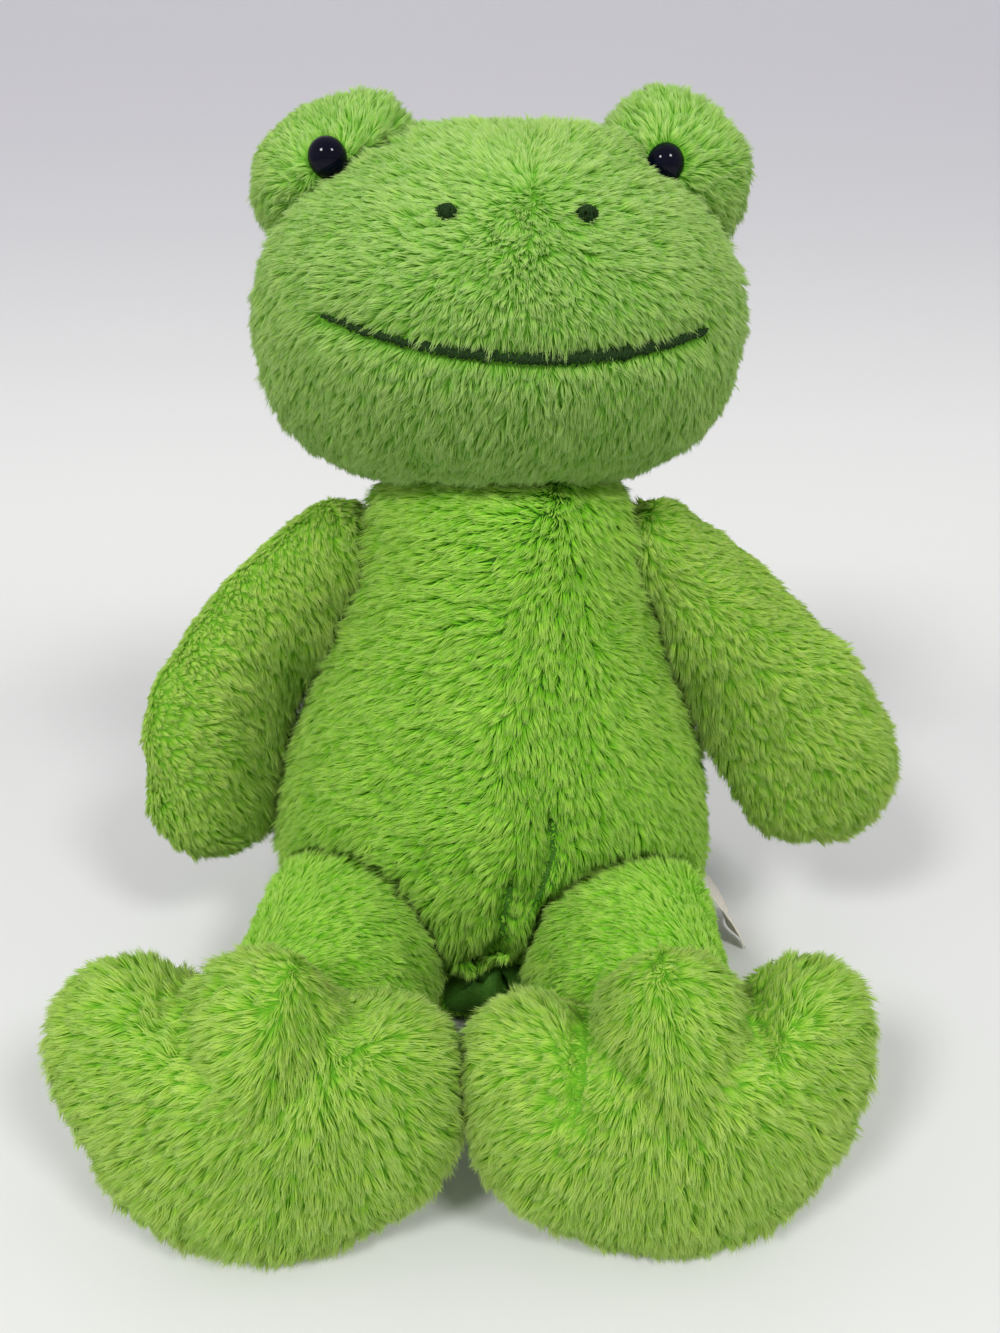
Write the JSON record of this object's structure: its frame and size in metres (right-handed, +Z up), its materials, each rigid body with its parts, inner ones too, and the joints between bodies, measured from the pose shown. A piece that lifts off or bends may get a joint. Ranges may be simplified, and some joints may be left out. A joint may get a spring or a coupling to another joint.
{
  "type": "plush frog",
  "caption": "Seated green plush frog with raised eye mounds, glossy black eyes, a stitched smile, hanging arms and wide three-toed feet.",
  "frame": {"origin": "middle of the flat that the torso sits on, on the floor under the belly", "axes": "+Z up; the frog looks along -Y, and its left side is +X"},
  "size_m": [0.305, 0.2444, 0.3345],
  "materials": {
    "plush_green": "long clumped pile, matt",
    "stuffing": "loose white fibre fill",
    "eye_black": "polished black",
    "washer": "moulded, matt white",
    "embroidery": "dark green satin stitch",
    "label": "woven satin ribbon"
  },
  "bodies": {
    "torso": {"torso_cover": "plush_green", "torso_stuffing": "stuffing", "care_label": "label"},
    "head": {"head_cover": "plush_green", "head_stuffing": "stuffing", "mouth_embroidery": "embroidery", "left_eye_mound_cover": "plush_green", "left_eye_mound_stuffing": "stuffing", "left_eye": "eye_black", "left_eye_washer": "washer", "left_nostril_embroidery": "embroidery", "right_eye_mound_cover": "plush_green", "right_eye_mound_stuffing": "stuffing", "right_eye": "eye_black", "right_eye_washer": "washer", "right_nostril_embroidery": "embroidery"},
    "left_arm": {"left_arm_cover": "plush_green", "left_arm_stuffing": "stuffing"},
    "left_leg": {"left_leg_cover": "plush_green", "left_leg_stuffing": "stuffing"},
    "left_foot": {"left_foot_cover": "plush_green", "left_foot_stuffing": "stuffing"},
    "right_arm": {"right_arm_cover": "plush_green", "right_arm_stuffing": "stuffing"},
    "right_leg": {"right_leg_cover": "plush_green", "right_leg_stuffing": "stuffing"},
    "right_foot": {"right_foot_cover": "plush_green", "right_foot_stuffing": "stuffing"}
  },
  "joints": [
    {"name": "neck_turn", "type": "hinge", "parent": "torso", "child": "head", "pos_m": [0, 0.004, 0.172], "axis": [0, 0, 1], "range_deg": [-40, 40], "stiffness_Nm_per_rad": 0.4},
    {"name": "left_shoulder_swing", "type": "hinge", "parent": "torso", "child": "left_arm", "pos_m": [0.0623, 0.002, 0.177], "axis": [-1, 0, 0], "range_deg": [-30, 70], "stiffness_Nm_per_rad": 0.5},
    {"name": "right_shoulder_swing", "type": "hinge", "parent": "torso", "child": "right_arm", "pos_m": [-0.0623, 0.002, 0.177], "axis": [-1, 0, 0], "range_deg": [-30, 70], "stiffness_Nm_per_rad": 0.5},
    {"name": "left_hip_swing", "type": "hinge", "parent": "torso", "child": "left_leg", "pos_m": [0.047, -0.0462, 0.036], "axis": [-1, 0, 0], "range_deg": [-25, 15], "stiffness_Nm_per_rad": 2},
    {"name": "right_hip_swing", "type": "hinge", "parent": "torso", "child": "right_leg", "pos_m": [-0.0575, -0.0462, 0.036], "axis": [-1, 0, 0], "range_deg": [-25, 15], "stiffness_Nm_per_rad": 2},
    {"name": "left_ankle_bend", "type": "hinge", "parent": "left_leg", "child": "left_foot", "pos_m": [0.04498, -0.10416, 0.0345], "axis": [-1, 0, 0], "range_deg": [-20, 20], "stiffness_Nm_per_rad": 1},
    {"name": "right_ankle_bend", "type": "hinge", "parent": "right_leg", "child": "right_foot", "pos_m": [-0.06053, -0.10412, 0.0345], "axis": [-1, 0, 0], "range_deg": [-20, 20], "stiffness_Nm_per_rad": 1}
  ]
}
